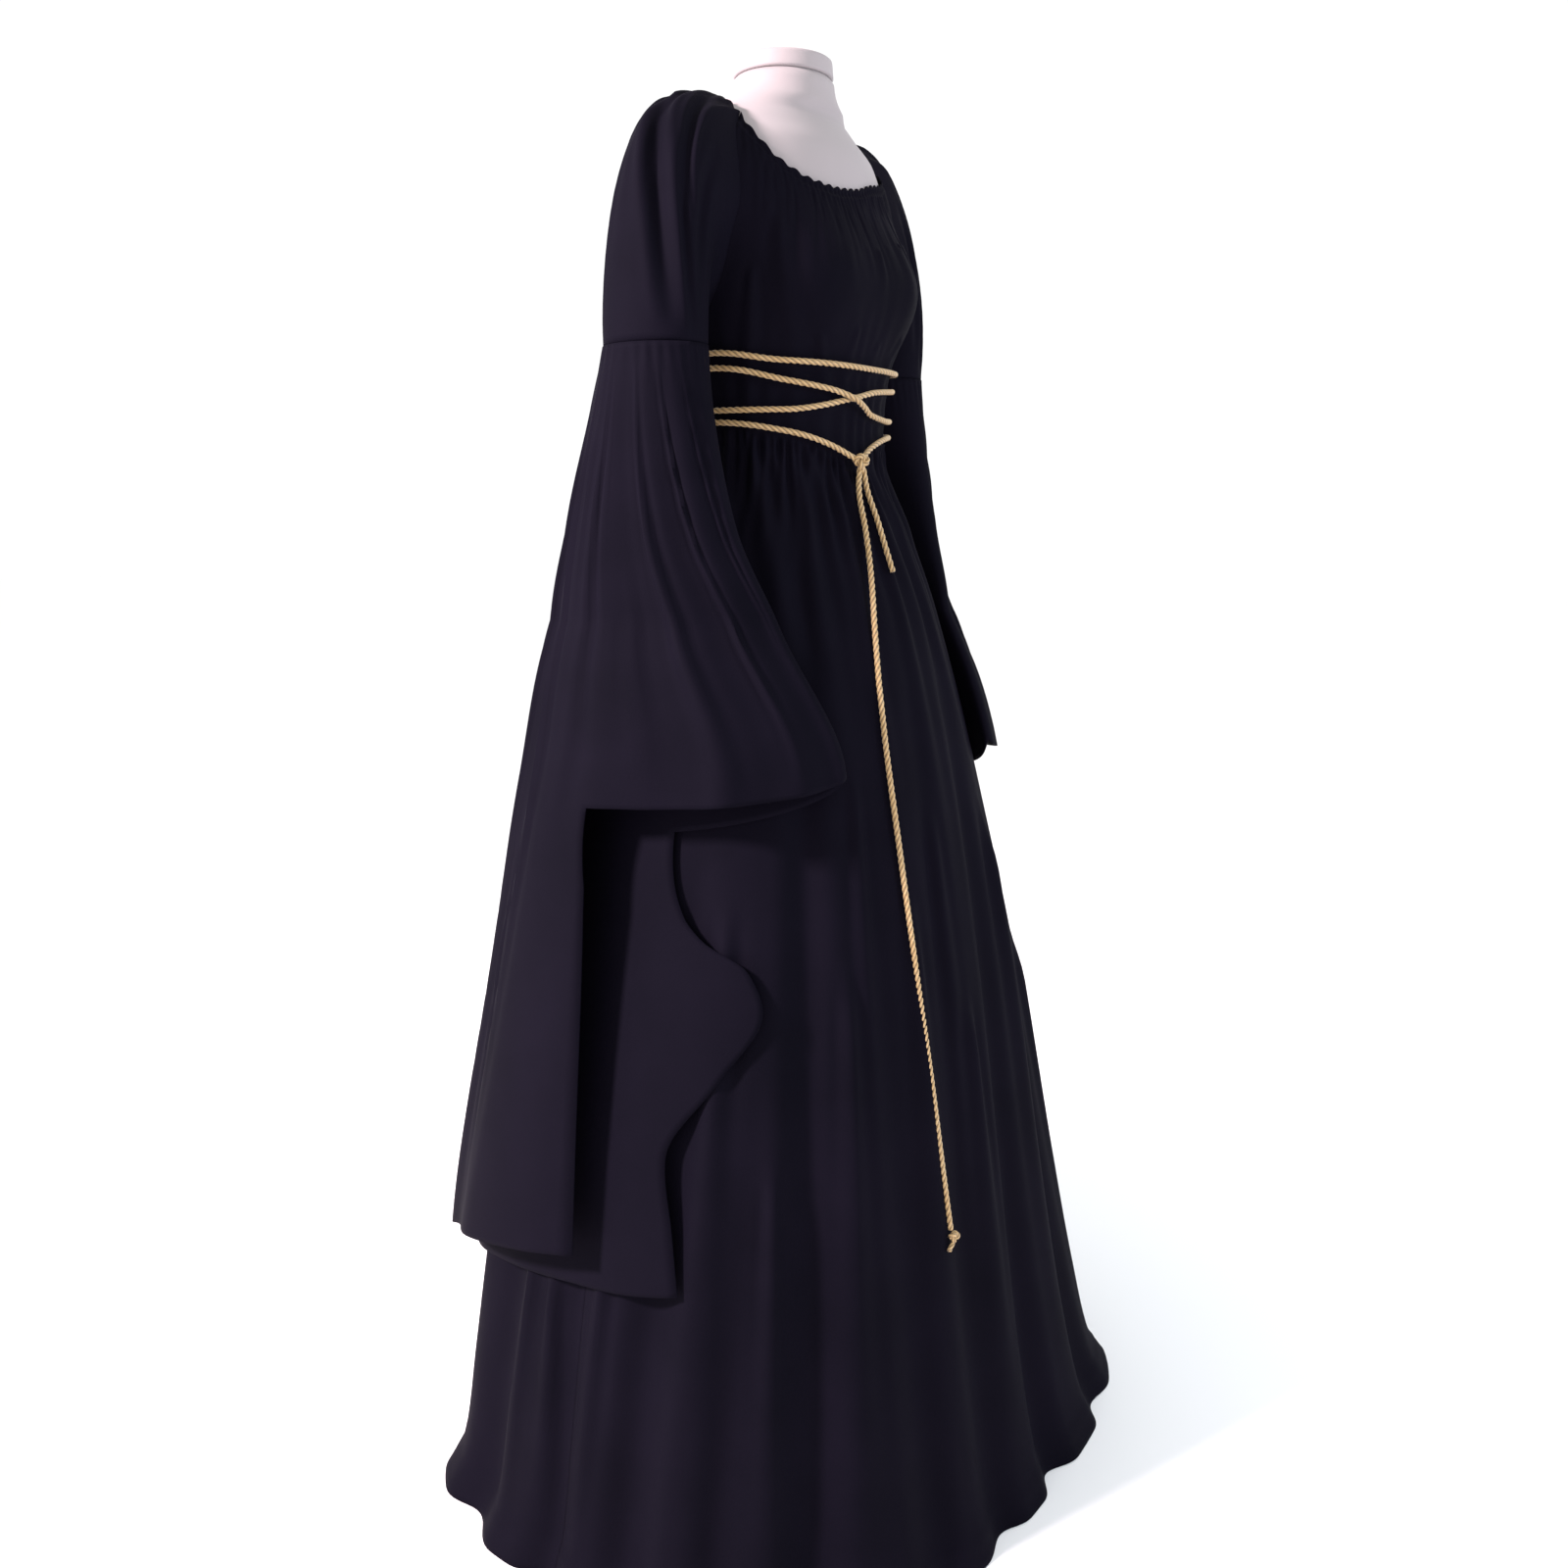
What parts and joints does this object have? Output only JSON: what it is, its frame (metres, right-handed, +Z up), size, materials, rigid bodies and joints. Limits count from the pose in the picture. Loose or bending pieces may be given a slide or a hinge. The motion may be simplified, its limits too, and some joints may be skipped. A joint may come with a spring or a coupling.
{
  "type": "medieval gown on a dress form",
  "caption": "Floor-length medieval-style gown with a gathered neckline, long open bell sleeves and a wound cord belt, standing on a limbless dress form.",
  "frame": {"origin": "centre of the stand base's underside, on the floor", "axes": "+Z up; the gown faces -Y; +X is the wearer's left"},
  "size_m": [0.8032, 0.6419, 1.478],
  "materials": {
    "black_crepe": "fine matte crepe with a soft sheen, near black with a purple-navy tint",
    "gold_cord": "twisted satin cord, gold to pale straw",
    "form_cover": "smooth cream jersey",
    "stand_metal": "black powder coat"
  },
  "bodies": {
    "root": {"front_panel": "black_crepe", "back_panel": "black_crepe", "sleeve_upper_right": "black_crepe", "sleeve_upper_left": "black_crepe", "sleeve_lower_right": "black_crepe", "sleeve_lower_left": "black_crepe", "belt_cord": "gold_cord", "belt_knot": "gold_cord", "cord_end_long": "gold_cord", "cord_end_short": "gold_cord", "cord_tip_knot": "gold_cord", "form_torso": "form_cover", "form_neck_cap": "form_cover", "stand_base": "stand_metal", "stand_pole": "stand_metal"}
  },
  "joints": []
}
